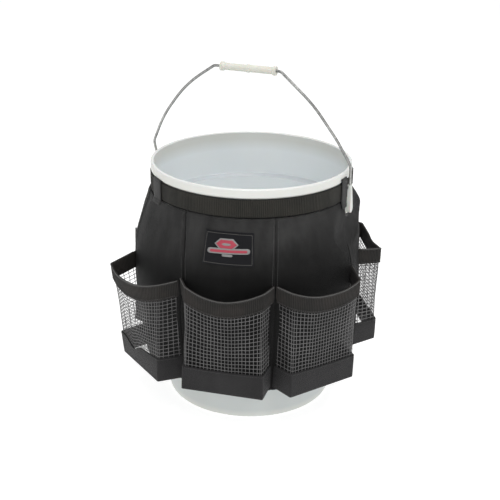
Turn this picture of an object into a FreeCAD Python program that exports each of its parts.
import FreeCAD, Part
import math
import os

import Sketcher
from FreeCAD import Placement, Rotation, Vector

# A mesh-pocket tool organizer belted round a standard five-gallon pail.
# Millimetres, +Z up. The origin is the centre of the pail's foot ring and +X is the
# bail's pivot axis. An angle round the pail starts at -Y and grows towards +X.

DIMENSIONS = [
    # pail
    ("pail_height", 375), ("base_radius", 130), ("step_radius", 143.6),
    ("step_height", 298), ("step_rise", 5), ("collar_radius", 150), ("collar_wall", 2.8),
    ("wall", 2.3), ("floor_lift", 4), ("floor_top", 6.6), ("foot_width", 7),
    ("rim_radius", 152), ("rim_inner_radius", 146.8), ("lip_height", 12), ("rim_round", 1.8),
    ("lip_slope", 3.6), ("foot_round", 2.45), ("boss_radius", 8.6), ("boss_face", 154.2),
    ("boss_clear_low", 306), ("boss_clear_height", 30), ("pivot_hole_radius", 4.5),
    # bail
    ("pivot_height", 318), ("bail_lean", 6.8), ("wire_diameter", 4.0), ("leg_reach", 157.5),
    ("leg_bend_height", 39), ("kink_height", 67), ("right_kink_reach", 158),
    ("left_kink_reach", 161.5), ("right_grip_bend_reach", 53), ("left_grip_bend_reach", 50.5),
    ("grip_height", 198), ("grip_shift", 3.3),
    ("right_haunch_reach", 137), ("right_haunch_height", 104),
    ("right_shoulder_reach", 102), ("right_shoulder_height", 153),
    ("left_haunch_reach", 141), ("left_haunch_height", 111),
    ("left_shoulder_reach", 99), ("left_shoulder_height", 165),
    ("leg_bend", 60), ("kink_bend", 16), ("arm_bend", 200), ("grip_bend", 9),
    ("grip_length", 86), ("grip_radius", 5.2), ("grip_end_radius", 6.6), ("grip_bore", 4.7),
    ("grip_ridge_radius", 5.9), ("grip_ridge_width", 5), ("grip_ridge_slope", 0.8),
    ("grip_end_width", 4), ("grip_end_slope", 2.5),
    # pivot fittings
    ("fitting_thick", 5.2), ("fitting_eye_radius", 7), ("fitting_top", 31),
    ("sleeve_radius", 3.3), ("sleeve_low", 9), ("sleeve_length", 28), ("pin_radius", 4.42),
    ("barb_radius", 5.3), ("barb_width", 2.6), ("barb_gap", 0.8),
    # belt, waistband and loops
    ("band_low", 333), ("band_high", 361), ("waistband_radius", 150.2),
    ("waistband_thick", 0.9), ("waistband_drop", 2), ("waistband_open_turn", 4),
    ("belt_radius", 151.25), ("belt_thick", 1.5), ("belt_edge_gap", 1.2),
    ("belt_straight_angle", 26), ("loop_width", 22), ("loop_thick", 1.1),
    ("loop_gap", 0.15), ("loop_low", 333.1), ("loop_high", 362.6), ("loop_head_drop", 1.5),
    ("tail_length", 74), ("tail_turn", 1), ("tail_gap", 0.1),
    ("keeper_width", 10), ("keeper_wall", 1.0), ("keeper_turn", 18), ("keeper_slack", 0.1),
    # buckle; its parts are measured along the belt from the joint between socket and plug
    ("buckle_angle", 168.75), ("buckle_length", 62), ("buckle_thick", 8),
    ("buckle_standoff", 151.6), ("buckle_edge_gap", 0.2), ("buckle_bar_inset", 4),
    ("buckle_wall", 1.6), ("buckle_rail", 2.2), ("buckle_slot_length", 9),
    ("buckle_slot_inner", 1.3), ("buckle_slot_outer", 5.6), ("socket_mouth", 2),
    ("cavity_depth", 20), ("window_far", 17), ("window_near", 5), ("plug_start", 2.3),
    ("tongue_reach", 14), ("tongue_inset", 11), ("arm_play", 0.6), ("arm_width", 4),
    ("arm_reach", 16), ("arm_root", 6), ("shank_width", 2.6), ("plug_inset", 2),
    # skirt
    ("panel_thick", 1.5), ("panel_play", 0.06), ("notch_half_width", 10), ("notch_low", 317),
    ("hem_height", 16), ("hem_thick", 1.0), ("seam_tape_width", 9), ("seam_tape_thick", 0.8),
    ("tape_gap", 0.4), ("hem_gap", 0.1), ("hem_end_turn", 2), ("hem_low_gap", 0.2),
    ("flat_blend", 1.2), ("flat_limit", 12),
    # pockets
    ("pocket_turn", 45), ("pocket_floor", 74), ("pocket_back", 24),
    ("seam_radius_low", 166), ("seam_radius_high", 180), ("mouth_swell", 3),
    ("mouth_side_height", 241), ("mouth_dip", 15), ("mouth_webbing_height", 26),
    ("base_band_top", 112), ("mouth_cut_reach", 63.5),
    ("mesh_thick", 1.3), ("webbing_thick", 1.5), ("base_band_thick", 1.2),
    ("seam_clearance", 0.35), ("sewing_gap", 0.25), ("cloth_gap", 0.05),
    ("core_top", 290),
    # label
    ("label_width", 73), ("label_height", 45), ("label_low", 270.5), ("label_thick", 1.2),
    ("label_angle", 12), ("label_gap", 0.3), ("label_turn_radius", 172),
]

# The skirt's outer radius at each height, top to hem, and how far from the pail's axis
# it stays beside the bail's pivots, where it is pressed flat.
SKIRT_PROFILE = [
    ("a", 333, 153.0, 152.9),
    ("b", 324, 156.6, 153.3),
    ("c", 312, 161.0, 153.7),
    ("d", 300, 165.4, 154.6),
    ("e", 286, 169.8, 158.6),
    ("f", 264, 175.6, 169.0),
    ("g", 236, 179.4, 178.6),
    ("h", 190, 180.0, 180.0),
    ("i", 130, 174.5, 174.5),
    ("j", 68, 166.5, 166.5),
]
# The ways that a pocket hangs. Each is how far its corners reach sideways and forward:
# floor left, floor right, mouth left, mouth right, and then how far forward the middle of
# its mouth stands.
POCKET_SHAPES = [
    ("level", (63, 187), (58, 194), (56, 184), (56, 183), 199),
    ("leaning", (58, 194.5), (56, 194.5), (54, 188), (54, 202), 202),
    ("tucked", (44, 197), (54, 195), (60, 193), (55, 198), 199),
    ("turned", (58, 194), (63, 187), (56, 183), (56, 184), 199),
    ("even", (56, 195), (57, 194.5), (54, 198), (55, 200), 203),
    ("wide", (58, 196), (61, 189.5), (56, 185.5), (56, 186.5), 201.5),
    ("flared", (59, 196), (52, 197), (54, 216), (53, 192), 216),
]
# The angle of each pocket's middle. Two plain panels, half a pocket wide, are left between
# the front three pockets and the back four.
POCKETS = [
    (11.25, "level"), (56.25, "leaning"), (123.75, "tucked"), (168.75, "turned"),
    (213.75, "even"), (258.75, "wide"), (326.25, "flared"),
]
# How far a cutting shape runs past what it cuts, and the length of one that cuts right through.
OVERCUT = 1.0
THROUGH = 400.0
POCKET_CORNERS = ("floor_left", "floor_right", "mouth_left", "mouth_right")
LOOP_ANGLES = (-38.5, 83.0, 204.5)

doc = FreeCAD.newDocument("bucket_organizer")
sheet = doc.addObject("Spreadsheet::Sheet", "Dims")


class Size:
    """A length that knows both its number and the sheet expression behind it."""

    def __init__(self, number, text):
        self.number = float(number)
        self.text = text

    def joined(self, other, sign, number):
        text = other.text if isinstance(other, Size) else repr(float(other))
        return Size(number, f"({self.text} {sign} {text})")

    def __add__(self, other):
        return self.joined(other, "+", self.number + float(other))

    def __sub__(self, other):
        return self.joined(other, "-", self.number - float(other))

    def __mul__(self, other):
        return self.joined(other, "*", self.number * float(other))

    def __float__(self):
        return self.number


def fill_sheet():
    """Write every driving dimension into the sheet and return them as Sizes by name."""
    rows = list(DIMENSIONS)
    for letter, height, radius, flat in SKIRT_PROFILE:
        rows.append((f"skirt_height_{letter}", height))
        rows.append((f"skirt_radius_{letter}", radius))
        rows.append((f"skirt_flat_{letter}", flat))
    for shape, *corners, middle in POCKET_SHAPES:
        for corner, (reach, front) in zip(POCKET_CORNERS, corners):
            rows.append((f"{shape}_{corner}_reach", reach))
            rows.append((f"{shape}_{corner}_front", front))
        rows.append((f"{shape}_mouth_middle_front", middle))
    for number, (name, value) in enumerate(rows, start=1):
        sheet.set(f"A{number}", name)
        sheet.set(f"B{number}", str(value))
        sheet.setAlias(f"B{number}", name)
    doc.recompute()
    return {name: Size(sheet.get(name), f"Dims.{name}") for name, _ in rows}


D = fill_sheet()
N = {name: size.number for name, size in D.items()}
ZERO = Size(0, "0")
NODES = []


def keep(thing, label):
    """Give a finished sub-part its name and put it on the list of nodes."""
    thing.Label = label
    NODES.append(thing)
    return thing


def bind(thing, **sizes):
    """Tie properties of an object to the sheet."""
    for name, size in sizes.items():
        thing.setExpression(name, size.text)


def origin_plane(body, role):
    return [item for item in body.Origin.OriginFeatures if item.Role == role][0]


def attached_sketch(body, name, role):
    sketch = body.newObject("Sketcher::SketchObject", name)
    sketch.AttachmentSupport = [(origin_plane(body, role), "")]
    sketch.MapMode = "FlatFace"
    return sketch


def polygon_sketch(body, name, role, corners):
    """A closed outline whose every corner is tied to the sheet."""
    sketch = attached_sketch(body, name, role)
    places = [Vector(float(across), float(up), 0) for across, up in corners]
    for start, end in zip(places, places[1:] + places[:1]):
        sketch.addGeometry(Part.LineSegment(start, end))
    for index in range(len(corners)):
        following = (index + 1) % len(corners)
        sketch.addConstraint(Sketcher.Constraint("Coincident", index, 2, following, 1))
    for index, corner in enumerate(corners):
        for kind, size in zip(("DistanceX", "DistanceY"), corner):
            made = sketch.addConstraint(Sketcher.Constraint(kind, -1, 1, index, 1, float(size)))
            if "Dims" in size.text:
                sketch.setExpression(f"Constraints[{made}]", size.text)
    return sketch


def circle_sketch(body, name, role, radius, across=ZERO, up=ZERO):
    sketch = attached_sketch(body, name, role)
    centre = Vector(float(across), float(up), 0)
    sketch.addGeometry(Part.Circle(centre, Vector(0, 0, 1), float(radius)))
    made = sketch.addConstraint(Sketcher.Constraint("Radius", 0, float(radius)))
    sketch.setExpression(f"Constraints[{made}]", radius.text)
    for kind, size in (("DistanceX", across), ("DistanceY", up)):
        made = sketch.addConstraint(Sketcher.Constraint(kind, -1, 1, 0, 3, float(size)))
        if "Dims" in size.text:
            sketch.setExpression(f"Constraints[{made}]", size.text)
    return sketch


def revolve(body, name, sketch, axis):
    feature = body.newObject("PartDesign::Revolution", name)
    feature.Profile = sketch
    feature.ReferenceAxis = (sketch, [axis])
    feature.Angle = 360
    return feature


def pad(body, name, sketch, length, midplane=False):
    feature = body.newObject("PartDesign::Pad", name)
    feature.Profile = sketch
    feature.Midplane = midplane
    bind(feature, Length=length)
    return feature


def pocket(body, name, sketch, length, midplane=False, backwards=False):
    """Cut a sketch into the body, and make sure that it really removes something."""
    doc.recompute()
    before = body.Shape.Volume
    feature = body.newObject("PartDesign::Pocket", name)
    feature.Profile = sketch
    feature.Midplane = midplane
    feature.Reversed = backwards
    bind(feature, Length=length)
    doc.recompute()
    if body.Shape.Volume > before - 1:
        raise ValueError(f"{name} cuts nothing")
    return feature


def around(angle, radius, height=0.0):
    """The point at an angle round the pail."""
    turn = math.radians(angle)
    return Vector(radius * math.sin(turn), -radius * math.cos(turn), height)


def turned(angle):
    """The placement that carries something built facing -Y round to an angle."""
    return Placement(Vector(0, 0, 0), Rotation(Vector(0, 0, 1), angle))


# ---------------------------------------------------------------- pail

def build_pail():
    body = doc.addObject("PartDesign::Body", "Pail")
    lip_low = D["pail_height"] - D["lip_height"]
    step_top = D["step_height"] + D["step_rise"]
    profile = [
        (ZERO, D["floor_lift"]),
        (D["base_radius"] - D["foot_width"], D["floor_lift"]),
        (D["base_radius"] - D["foot_width"], ZERO),
        (D["base_radius"], ZERO),
        (D["step_radius"], D["step_height"]),
        (D["collar_radius"], step_top),
        (D["collar_radius"], lip_low),
        (D["rim_radius"], lip_low),
        (D["rim_radius"], D["pail_height"]),
        (D["rim_inner_radius"], D["pail_height"]),
        (D["collar_radius"] - D["collar_wall"], D["pail_height"] - D["lip_slope"]),
        (D["collar_radius"] - D["collar_wall"], step_top + D["wall"]),
        (D["step_radius"] - D["wall"], D["step_height"] + D["wall"]),
        (D["base_radius"] - D["wall"], D["floor_top"]),
        (ZERO, D["floor_top"]),
    ]
    revolve(body, "PailWall", polygon_sketch(body, "PailProfile", "XZ_Plane", profile), "V_Axis")
    doc.recompute()
    round_pail_edges(body)
    boss = circle_sketch(body, "BossCircle", "YZ_Plane", D["boss_radius"], ZERO, D["pivot_height"])
    pad(body, "Bosses", boss, D["boss_face"] * 2, midplane=True)
    inside = circle_sketch(body, "CollarInside", "XY_Plane", D["collar_radius"] - D["collar_wall"])
    inside.AttachmentOffset = Placement(Vector(0, 0, N["boss_clear_low"]), Rotation())
    pocket(body, "ClearInside", inside, D["boss_clear_height"], backwards=True)
    hole = circle_sketch(body, "PivotHole", "YZ_Plane", D["pivot_hole_radius"], ZERO, D["pivot_height"])
    pocket(body, "PivotHoles", hole, (D["boss_face"] + OVERCUT) * 2, midplane=True)
    return keep(body, "bucket_body")


def round_pail_edges(body):
    """Round the lip's two upper edges and the outside of the foot."""
    wanted = {
        "LipRound": ("rim_round", [("rim_radius", N["pail_height"]),
                                   ("rim_inner_radius", N["pail_height"])]),
        "FootRound": ("foot_round", [("base_radius", 0.0)]),
    }
    for name, (radius, places) in wanted.items():
        base = body.Tip
        edges = []
        for number, edge in enumerate(base.Shape.Edges, start=1):
            if not isinstance(edge.Curve, Part.Circle):
                continue
            for alias, height in places:
                same_radius = abs(edge.Curve.Radius - N[alias]) < 0.01
                if same_radius and abs(edge.Curve.Center.z - height) < 0.01:
                    edges.append(f"Edge{number}")
        fillet = body.newObject("PartDesign::Fillet", name)
        fillet.Base = (base, edges)
        bind(fillet, Radius=D[radius])
        doc.recompute()


# ---------------------------------------------------------------- bail

def bail_placement():
    """Stand the bail on its pivots, leaning towards -Y as it rests."""
    return Placement(Vector(0, 0, N["pivot_height"]), Rotation(Vector(1, 0, 0), N["bail_lean"]))


def bent_path(corners, bends):
    """A wire of straight runs through the corners, joined by tangent arcs of the given radii."""
    edges = []
    start = corners[0]
    for before, corner, after, bend in zip(corners, corners[1:], corners[2:], bends):
        inward = (before - corner).normalize()
        outward = (after - corner).normalize()
        half_turn = (math.pi - inward.getAngle(outward)) / 2
        reach = bend * math.tan(half_turn)
        first, last = corner + inward * reach, corner + outward * reach
        towards_centre = (inward + outward).normalize()
        middle = corner + towards_centre * (bend / math.cos(half_turn) - bend)
        edges.append(Part.LineSegment(start, first).toShape())
        edges.append(Part.Arc(first, middle, last).toShape())
        start = last
    edges.append(Part.LineSegment(start, corners[-1]).toShape())
    return Part.Wire(edges)


def bail_side(side, sign):
    """The corners of one arm of the bail, from its foot up to the bend beside the grip."""
    return [
        Vector(sign * N["leg_reach"], 0, N["sleeve_low"]),
        Vector(sign * N["leg_reach"], 0, N["leg_bend_height"]),
        Vector(sign * N[f"{side}_kink_reach"], 0, N["kink_height"]),
        Vector(sign * N[f"{side}_haunch_reach"], 0, N[f"{side}_haunch_height"]),
        Vector(sign * N[f"{side}_shoulder_reach"], 0, N[f"{side}_shoulder_height"]),
        Vector(sign * N[f"{side}_grip_bend_reach"], 0, N["grip_height"]),
    ]


def build_bail_wire():
    """The wire is hand-bent, and its left arm bows out more than its right."""
    right, left = bail_side("right", 1), bail_side("left", -1)
    bends = [N["leg_bend"], N["kink_bend"], N["arm_bend"], N["arm_bend"], N["grip_bend"]]
    path = bent_path(right + left[::-1], bends + bends[::-1])
    ring = Part.Wire(Part.Circle(right[0], Vector(0, 0, 1), N["wire_diameter"] / 2).toShape())
    wire = doc.addObject("Part::Feature", "BailWire")
    wire.Shape = path.makePipeShell([ring], True, False)
    wire.Placement = bail_placement()
    return keep(wire, "bail_wire")


def build_fitting(side, label):
    """A white end fitting: an eye with its pin, and a sleeve that grips the wire's leg."""
    inner = N["leg_reach"] - N["fitting_thick"] / 2
    body = doc.addObject("PartDesign::Body", label.title().replace("_", ""))
    half = D["fitting_eye_radius"]
    outline = [
        (half * -1, ZERO), (half, ZERO),
        (D["sleeve_radius"], D["fitting_top"]), (D["sleeve_radius"] * -1, D["fitting_top"]),
    ]
    tab = polygon_sketch(body, f"Tab{side}", "YZ_Plane", outline)
    eye = circle_sketch(body, f"Eye{side}", "YZ_Plane", D["fitting_eye_radius"])
    pin = circle_sketch(body, f"Pin{side}", "YZ_Plane", D["pin_radius"])
    barb = circle_sketch(body, f"Barb{side}", "YZ_Plane", D["barb_radius"])
    barb_start = N["collar_radius"] - N["collar_wall"] - N["barb_gap"] - N["barb_width"]
    stations = ((tab, inner), (eye, inner), (pin, barb_start), (barb, barb_start))
    for sketch, station in stations:
        sketch.AttachmentOffset = Placement(Vector(0, 0, station), Rotation())
    pad(body, f"TabPad{side}", tab, D["fitting_thick"])
    pad(body, f"EyePad{side}", eye, D["fitting_thick"])
    pin_length = D["leg_reach"] - barb_start
    pad(body, f"PinPad{side}", pin, pin_length)
    pad(body, f"BarbPad{side}", barb, D["barb_width"])
    sleeve = circle_sketch(body, f"Sleeve{side}", "XY_Plane", D["sleeve_radius"], D["leg_reach"])
    sleeve.AttachmentOffset = Placement(Vector(0, 0, N["sleeve_low"]), Rotation())
    pad(body, f"SleevePad{side}", sleeve, D["sleeve_length"])
    socket = circle_sketch(body, f"Socket{side}", "XY_Plane", D["wire_diameter"] * 0.5, D["leg_reach"])
    socket.AttachmentOffset = Placement(Vector(0, 0, N["sleeve_low"]), Rotation())
    pocket(body, f"WireSocket{side}", socket, D["sleeve_length"] + OVERCUT, backwards=True)
    # the left fitting is the right one turned half round about the bail's own upright axis
    half_turn = Placement(Vector(0, 0, 0), Rotation(Vector(0, 0, 1), 180 if side == "Left" else 0))
    body.Placement = bail_placement() * half_turn
    return keep(body, label)


def build_grip():
    body = doc.addObject("PartDesign::Body", "Grip")
    end, half = D["grip_length"] * 0.5, D["grip_ridge_width"] * 0.5
    bore, thick = D["grip_bore"] * 0.5, D["grip_radius"]
    shoulder = end - D["grip_end_width"]
    left = [
        (end * -1, bore), (end * -1, D["grip_end_radius"]),
        (shoulder * -1, D["grip_end_radius"]), (shoulder * -1 + D["grip_end_slope"], thick),
        (half * -1, thick), (half * -1 + D["grip_ridge_slope"], D["grip_ridge_radius"]),
    ]
    right = [(across * -1, up) for across, up in reversed(left)]
    profile = polygon_sketch(body, "GripProfile", "XZ_Plane", left + right)
    revolve(body, "GripTurned", profile, "H_Axis")
    # the grip slides a little on the wire, and has come to rest towards its right end
    along_wire = Placement(Vector(N["grip_shift"], 0, N["grip_height"]), Rotation())
    body.Placement = bail_placement() * along_wire
    return keep(body, "bail_grip")


# ---------------------------------------------------------------- belt and waistband

def ring_sector(inner, thick, low, high, start, end):
    """A solid band round the pail between two angles."""
    plan = Part.Face(Part.Wire([
        Part.Arc(around(start, inner), around((start + end) / 2, inner), around(end, inner)).toShape(),
        Part.LineSegment(around(end, inner), around(end, inner + thick)).toShape(),
        Part.Arc(around(end, inner + thick), around((start + end) / 2, inner + thick),
                 around(start, inner + thick)).toShape(),
        Part.LineSegment(around(start, inner + thick), around(start, inner)).toShape(),
    ]))
    plan.translate(Vector(0, 0, low))
    return plan.extrude(Vector(0, 0, high - low))


def shape_node(shape, name, label, placement=None):
    """A sub-part with no plain primitive behind it: its shape is set here from the sheet."""
    thing = doc.addObject("Part::Feature", name)
    thing.Shape = shape
    thing.Placement = placement or Placement()
    return keep(thing, label)


def build_waistband():
    """The skirt's hemmed top edge, open by a finger's width behind the buckle."""
    opening = N["waistband_open_turn"]
    low = N["band_low"] - N["waistband_drop"]
    band = ring_sector(N["waistband_radius"], N["waistband_thick"], low,
                       N["band_high"], N["buckle_angle"] + opening,
                       N["buckle_angle"] + 360 - opening)
    return shape_node(band, "Waistband", "skirt_waistband")


def belt_run(inner, thick, low, high, bar):
    """Webbing that leaves the pail on a straight run to the buckle's bar, facing -Y."""
    lift = math.radians(N["belt_straight_angle"])

    def tangent_point(radius, across):
        return Vector(across, -(radius - across * math.sin(lift)) / math.cos(lift), low)

    outer = inner + thick
    corners = [
        tangent_point(inner, inner * math.sin(lift)), tangent_point(inner, bar),
        tangent_point(outer, bar), tangent_point(outer, outer * math.sin(lift)),
    ]
    return Part.Face(Part.makePolygon(corners + corners[:1])).extrude(Vector(0, 0, high - low))


def belt_edges():
    """The heights of the belt's lower and upper edges."""
    return N["band_low"] + N["belt_edge_gap"], N["band_high"] - N["belt_edge_gap"]


def mirrored(shape):
    return shape.mirror(Vector(0, 0, 0), Vector(1, 0, 0))


def build_belt():
    inner, thick = N["belt_radius"], N["belt_thick"]
    lift = N["belt_straight_angle"]
    low, high = belt_edges()
    ring = ring_sector(inner, thick, low, high, lift, 360 - lift)
    bar = N["buckle_length"] / 2 - N["buckle_bar_inset"]
    run = belt_run(inner, thick, low, high, bar)
    belt = ring.fuse([run, mirrored(run)])
    belt = belt.removeSplitter()
    return shape_node(belt, "Belt", "belt_webbing", turned(N["buckle_angle"]))


def build_belt_tail():
    """The free end of the belt, doubled back over the belt beside the buckle."""
    low, high = belt_edges()
    end = -N["belt_straight_angle"] - N["tail_turn"]
    sweep = math.degrees(N["tail_length"] / N["belt_radius"])
    inner = N["belt_radius"] + N["belt_thick"] + N["tail_gap"]
    tail = ring_sector(inner, N["belt_thick"], low, high, end - sweep, end)
    return shape_node(tail, "BeltTail", "belt_tail", turned(N["buckle_angle"]))


def build_keeper():
    """The elastic keeper that holds the belt's free end down."""
    low, high = belt_edges()
    wall, slack = N["keeper_wall"], N["keeper_slack"]
    width = math.degrees(N["keeper_width"] / N["belt_radius"])
    end = -N["belt_straight_angle"] - N["keeper_turn"]
    inner = N["belt_radius"] - slack
    depth = 2 * N["belt_thick"] + 4 * slack
    band = ring_sector(inner, depth + wall, low - wall, high + wall, end - width, end)
    inside = ring_sector(inner - OVERCUT, depth + OVERCUT, low - slack, high + slack,
                         end - width - OVERCUT, end + OVERCUT)
    return shape_node(band.cut(inside), "Keeper", "belt_keeper", turned(N["buckle_angle"]))


def buckle_box(body, name, left, right, near, far, low, high):
    """A block of the buckle, padded upwards from a sketch on the body's XY plane."""
    corners = [(left, far * -1), (right, far * -1), (right, near * -1), (left, near * -1)]
    sketch = polygon_sketch(body, name, "XY_Plane", corners)
    sketch.AttachmentOffset = Placement(Vector(0, 0, float(low)), Rotation())
    return sketch, high - float(low)


def buckle_edges():
    """The buckle's inner and outer faces, then its lower and upper edges."""
    near = D["buckle_standoff"]
    gap = D["buckle_edge_gap"]
    return near, near + D["buckle_thick"], D["band_low"] + gap, D["band_high"] - gap


def build_buckle_socket():
    """The socket of the side-release buckle, with its cavity, arm windows and webbing slot."""
    near, far, low, high = buckle_edges()
    end = D["buckle_length"] * -0.5
    wall, rail = D["buckle_wall"], D["buckle_rail"]
    mouth = ZERO + D["socket_mouth"]

    socket = doc.addObject("PartDesign::Body", "BuckleSocket")
    block = buckle_box(socket, "SocketPlan", end, mouth, near, far, low, high)
    pad(socket, "SocketBlock", *block)
    cavity = buckle_box(socket, "CavityPlan", ZERO - D["cavity_depth"], mouth + OVERCUT,
                        near + wall, far - wall, low + rail, high - rail)
    pocket(socket, "Cavity", *cavity, backwards=True)
    slot = buckle_box(socket, "SocketSlotPlan", end - OVERCUT, end + D["buckle_slot_length"],
                      near + D["buckle_slot_inner"], near + D["buckle_slot_outer"],
                      low - OVERCUT, high + OVERCUT)
    pocket(socket, "WebbingSlot", *slot, backwards=True)
    window = buckle_box(socket, "WindowPlan", ZERO - D["window_far"], ZERO - D["window_near"],
                        near + wall, far - wall, low - OVERCUT, high + OVERCUT)
    pocket(socket, "ArmWindows", *window, backwards=True)
    socket.Placement = turned(N["buckle_angle"])
    return keep(socket, "buckle_socket")


def add_plug_arm(plug, name, outer, inner, shank):
    """One sprung arm of the plug, on the shank that joins it to the plug's block."""
    near, far, _, _ = buckle_edges()
    near, far = near + D["plug_inset"], far - D["plug_inset"]
    root = ZERO - D["arm_root"]
    arm = buckle_box(plug, f"{name}Plan", ZERO - D["arm_reach"], root, near, far, *sorted(
        (outer, inner), key=float))
    pad(plug, name, *arm)
    stem = buckle_box(plug, f"{name}ShankPlan", root - OVERCUT, ZERO + D["plug_start"], near, far,
                      shank, shank + D["shank_width"])
    pad(plug, f"{name}Shank", *stem)


def build_buckle_plug():
    """The plug of the side-release buckle: a block, a tongue and two sprung arms."""
    near, far, low, high = buckle_edges()
    end = D["buckle_length"] * 0.5
    start, inset = ZERO + D["plug_start"], D["plug_inset"]

    plug = doc.addObject("PartDesign::Body", "BucklePlug")
    block = buckle_box(plug, "PlugPlan", start, end, near, far, low, high)
    pad(plug, "PlugBlock", *block)
    tongue = buckle_box(plug, "TonguePlan", ZERO - D["tongue_reach"], start, near + inset,
                        far - inset, low + D["tongue_inset"], high - D["tongue_inset"])
    pad(plug, "Tongue", *tongue)
    low_edge, high_edge = low + D["arm_play"], high - D["arm_play"]
    low_inner, high_inner = low_edge + D["arm_width"], high_edge - D["arm_width"]
    add_plug_arm(plug, "LowArm", low_edge, low_inner, low_inner - D["plug_inset"])
    add_plug_arm(plug, "HighArm", high_edge, high_inner, high_inner - D["arm_play"])
    slot = buckle_box(plug, "PlugSlotPlan", end - D["buckle_slot_length"], end + OVERCUT,
                      near + D["buckle_slot_inner"], near + D["buckle_slot_outer"],
                      low - OVERCUT, high + OVERCUT)
    pocket(plug, "PlugWebbingSlot", *slot, backwards=True)
    plug.Placement = turned(N["buckle_angle"])
    return keep(plug, "buckle_plug")


def build_belt_loops():
    """Three flat loops sewn to the skirt, with the belt threaded through them."""
    inner = N["belt_radius"] + N["belt_thick"] + N["loop_gap"]
    half = math.degrees(N["loop_width"] / 2 / inner)
    for number, angle in enumerate(LOOP_ANGLES, start=1):
        strap = ring_sector(inner, N["loop_thick"], N["loop_low"], N["loop_high"], -half, half)
        waistband_face = N["waistband_radius"] + N["waistband_thick"] + N["cloth_gap"]
        head = ring_sector(waistband_face, inner - waistband_face + N["loop_thick"] / 2,
                           N["loop_high"] - N["loop_head_drop"], N["loop_high"], -half, half)
        shape_node(strap.fuse(head).removeSplitter(), f"BeltLoop{number}",
                   f"belt_loop_{number}", turned(angle))


# ---------------------------------------------------------------- skirt

def profile_at(height, kind):
    """The skirt's radius or flat distance at any height, straight between the listed heights."""
    letters = [row[0] for row in SKIRT_PROFILE]
    for upper, lower in zip(letters, letters[1:]):
        top, bottom = N[f"skirt_height_{upper}"], N[f"skirt_height_{lower}"]
        if height >= bottom or lower == letters[-1]:
            share = (top - height) / (top - bottom)
            return N[f"skirt_{kind}_{upper}"] * (1 - share) + N[f"skirt_{kind}_{lower}"] * share


def skirt_radius(angle, height):
    """The skirt's outer radius: round, but eased flat beside the two pivots."""
    blend = N["flat_blend"]
    around_pail = profile_at(height, "radius")
    sideways = abs(math.sin(math.radians(angle)))
    flat = profile_at(height, "flat")
    if flat > (around_pail + N["flat_limit"]) * sideways:
        return around_pail
    flat = flat / sideways
    least = min(around_pail, flat)
    total = math.exp((least - around_pail) / blend) + math.exp((least - flat) / blend)
    return least - blend * math.log(total)


def skirt_section(start, end, height, outside, thick):
    """A closed wire of one panel's cross-section at a height."""
    steps = 8
    angles = [start + (end - start) * step / steps for step in range(steps + 1)]
    outer = [around(angle, skirt_radius(angle, height) - outside, height) for angle in angles]
    inner = [around(angle, skirt_radius(angle, height) - outside - thick, height)
             for angle in angles]
    front, back = Part.BSplineCurve(), Part.BSplineCurve()
    front.interpolate(outer)
    back.interpolate(inner[::-1])
    return Part.Wire([
        front.toShape(), Part.LineSegment(outer[-1], inner[-1]).toShape(),
        back.toShape(), Part.LineSegment(inner[0], outer[0]).toShape(),
    ])


def skirt_shell(start, end, heights, outside, thick):
    sections = [skirt_section(start, end, height, outside, thick) for height in heights]
    return Part.makeLoft(sections, True, True)


def pivot_notch():
    """The buttonhole that each pivot boss stands in, cut down from the waistband."""
    half, low, high = N["notch_half_width"], N["notch_low"], N["band_low"] + OVERCUT
    slot = Part.makeBox(THROUGH, half * 2, high - low, Vector(-THROUGH / 2, -half, low))
    foot = Part.makeCylinder(half, THROUGH, Vector(-THROUGH / 2, 0, low), Vector(1, 0, 0))
    return slot.fuse(foot)


def seam_angles():
    """Every seam round the skirt, one on each side of each pocket, in order."""
    half = N["pocket_turn"] / 2
    sides = {(angle + side * half) % 360 for angle, _ in POCKETS for side in (-1, 1)}
    return sorted(sides)


def panel_spans():
    """The two seams that bound each panel, beginning with the panel behind the label."""
    seams = seam_angles()
    return list(zip([seams[-1] - 360] + seams, seams))


def build_skirt():
    """Sewn panels, hung from the waistband and flaring over the pockets' backs."""
    heights = [row[1] for row in SKIRT_PROFILE]
    notch = pivot_notch()
    play = N["panel_play"]
    for number, (start, end) in enumerate(panel_spans(), start=1):
        panel = skirt_shell(start + play, end - play, heights, 0.0, N["panel_thick"])
        if any(start < pivot < end for pivot in (90, 270)):
            panel = panel.cut(notch)
        shape_node(panel, f"SkirtPanel{number}", f"skirt_panel_{number}")


def build_seam_tapes():
    """Tapes that bind the panels' seams on the inside, as one group of strips."""
    heights = [row[1] for row in SKIRT_PROFILE if row[1] < N["band_low"]]
    outside = N["panel_thick"] + N["tape_gap"]
    tapes = []
    for angle in seam_angles():
        half = math.degrees(N["seam_tape_width"] / 2 / N["seam_radius_low"])
        tapes.append(skirt_shell(angle - half, angle + half, heights, outside, N["seam_tape_thick"]))
    return shape_node(Part.makeCompound(tapes), "SeamTapes", "seam_tapes")


def build_hem():
    """The binding round the skirt's lower edge, one length to each panel."""
    low = SKIRT_PROFILE[-1][1]
    heights = [low + N["hem_height"], low + N["hem_low_gap"]]
    outside = N["panel_thick"] + N["hem_gap"]
    turn = N["hem_end_turn"]
    pieces = [skirt_shell(start + turn, end - turn, heights, outside, N["hem_thick"])
              for start, end in panel_spans()]
    return shape_node(Part.makeCompound(pieces), "Hem", "hem_binding")


# ---------------------------------------------------------------- pockets

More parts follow.
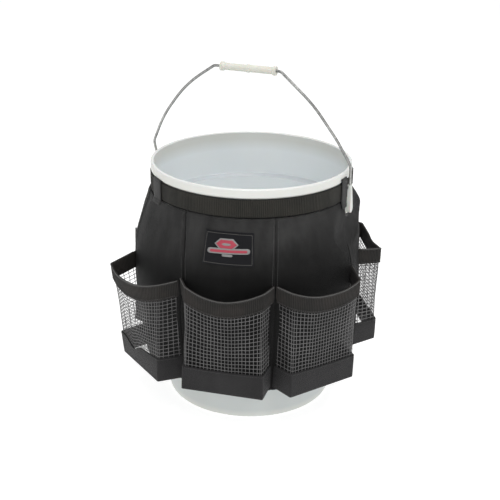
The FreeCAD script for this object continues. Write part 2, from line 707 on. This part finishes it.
def pocket_plan(shape, height, outward):
    """One pocket's plan at a height, facing -Y and running back behind the skirt's face."""
    low, high = N["pocket_floor"], N["mouth_side_height"]
    share = (height - low) / (high - low)
    half_turn = math.radians(N["pocket_turn"] / 2)
    seam_radius = N["seam_radius_low"] * (1 - share) + N["seam_radius_high"] * share
    clearance = N["seam_clearance"] + N["webbing_thick"] - outward
    back_reach = N["pocket_back"]
    seam = (seam_radius * math.sin(half_turn) - clearance * math.cos(half_turn),
            seam_radius * math.cos(half_turn) + clearance * math.sin(half_turn))
    back = (seam[0] - back_reach * math.sin(half_turn), seam[1] - back_reach * math.cos(half_turn))

    def floor_corner(side):
        return [N[f"{shape}_floor_{side}_{measure}"] + outward for measure in ("reach", "front")]

    def corner(side):
        mouth = [N[f"{shape}_mouth_{side}_{measure}"] + outward for measure in ("reach", "front")]
        return [at_floor * (1 - share) + at_mouth * share
                for at_floor, at_mouth in zip(floor_corner(side), mouth)]

    left, right = corner("left"), corner("right")
    floor_left, floor_right = floor_corner("left"), floor_corner("right")
    floor_middle = (floor_left[1] * floor_right[0] + floor_right[1] * floor_left[0])
    floor_middle = floor_middle / (floor_left[0] + floor_right[0])
    mouth_middle = N[f"{shape}_mouth_middle_front"] + outward
    middle = floor_middle * (1 - share) + mouth_middle * share

    def quarter(end):
        return (end[0] / 2, (end[1] + middle) / 2 + share * N["mouth_swell"])

    ring = [back, seam, right, quarter(right), (0.0, middle)]
    other_side = [(-across, front) for across, front in (quarter(left), left, seam, back)]
    points = [Vector(across, -front, height) for across, front in ring + other_side]
    return Part.makePolygon(points + points[:1])


def pocket_form(shape, outward, low, high):
    """The solid that one pocket's cloth wraps, grown outward by a thickness."""
    sections = [pocket_plan(shape, low, outward), pocket_plan(shape, high, outward)]
    return Part.makeLoft(sections, True, True)


def skirt_core():
    """Everything inside the skirt's outer face, with the pockets' sewing gap."""
    points = [Vector(0, 0, N["skirt_height_j"] - N["hem_height"])]
    for letter, *_ in reversed(SKIRT_PROFILE):
        height = N[f"skirt_height_{letter}"]
        if height < N["core_top"]:
            points.append(Vector(N[f"skirt_radius_{letter}"] + N["sewing_gap"], 0, height))
    points.insert(1, Vector(points[1].x, 0, points[0].z))
    points.append(Vector(0, 0, points[-1].z))
    outline = Part.Face(Part.makePolygon(points + points[:1]))
    return outline.revolve(Vector(0, 0, 0), Vector(0, 0, 1), 360)


def mouth_cutter(drop):
    """The curved cut that dips a pocket's top edge, lowered by a drop."""
    reach, dip = N["mouth_cut_reach"], N["mouth_dip"]
    radius = (reach * reach + dip * dip) / (2 * dip)
    axis_height = N["mouth_side_height"] - dip + radius - drop
    return Part.makeCylinder(radius, THROUGH, Vector(0, 0, axis_height), Vector(0, -1, 0))


def pocket_shapes(shape, core):
    """The mesh, mouth webbing and base band of one pocket, facing -Y."""
    low, high, band_top = N["pocket_floor"], N["mouth_side_height"], N["base_band_top"]
    gap = N["cloth_gap"]
    cutter = mouth_cutter(0)
    mesh = pocket_form(shape, 0, low, high)
    mesh = mesh.cut(pocket_form(shape, -N["mesh_thick"], low + N["mesh_thick"], high + OVERCUT))
    mesh = mesh.cut(cutter).cut(core)
    webbing = pocket_form(shape, N["webbing_thick"], low, high)
    webbing = webbing.cut(pocket_form(shape, gap, low - OVERCUT, high + OVERCUT))
    webbing = webbing.common(mouth_cutter(N["mouth_webbing_height"])).cut(cutter).cut(core)
    band = pocket_form(shape, N["base_band_thick"], low, band_top)
    band = band.cut(pocket_form(shape, gap, low - OVERCUT, band_top + OVERCUT)).cut(core)
    return {"mesh": mesh, "mouth_webbing": webbing, "base_band": band}


def build_pockets():
    core = skirt_core()
    cloth = {row[0]: pocket_shapes(row[0], core) for row in POCKET_SHAPES}
    for number, (angle, shape) in enumerate(POCKETS, start=1):
        for name, part in cloth[shape].items():
            label = f"pocket_{name}_{number}"
            shape_node(part, label.title().replace("_", ""), label, turned(angle))


# ---------------------------------------------------------------- label

def build_label():
    """The sewn patch on the front panel, lying on the skirt's slope."""
    half = math.degrees(N["label_width"] / 2 / N["label_turn_radius"])
    low = N["label_low"]
    heights = [low + N["label_height"], low + N["label_height"] / 2, low]
    middle = N["label_angle"]
    outside = -N["label_thick"] - N["label_gap"]
    patch = skirt_shell(middle - half, middle + half, heights, outside, N["label_thick"])
    return shape_node(patch, "Label", "label_patch")


# ---------------------------------------------------------------- checks and export

def check_and_export():
    doc.recompute()
    for thing in doc.Objects:
        if "Invalid" in thing.State or "Error" in thing.State:
            raise ValueError(f"{thing.Name} failed: {thing.State}")
    os.makedirs("parts", exist_ok=True)
    for thing in NODES:
        shape = thing.Shape
        if shape.isNull() or not shape.isValid() or not shape.Solids:
            raise ValueError(f"{thing.Label} has no valid solid")
        shape.exportStep(f"parts/{thing.Label}.step")
        print(f"{thing.Label}: {len(shape.Solids)} solid(s), {shape.Volume / 1000:.2f} cm3")


build_pail()
build_bail_wire()
build_fitting("Right", "bail_pivot_right")
build_fitting("Left", "bail_pivot_left")
build_grip()
build_waistband()
build_belt()
build_belt_tail()
build_keeper()
build_buckle_socket()
build_buckle_plug()
build_belt_loops()
build_skirt()
build_seam_tapes()
build_hem()
build_pockets()
build_label()
check_and_export()
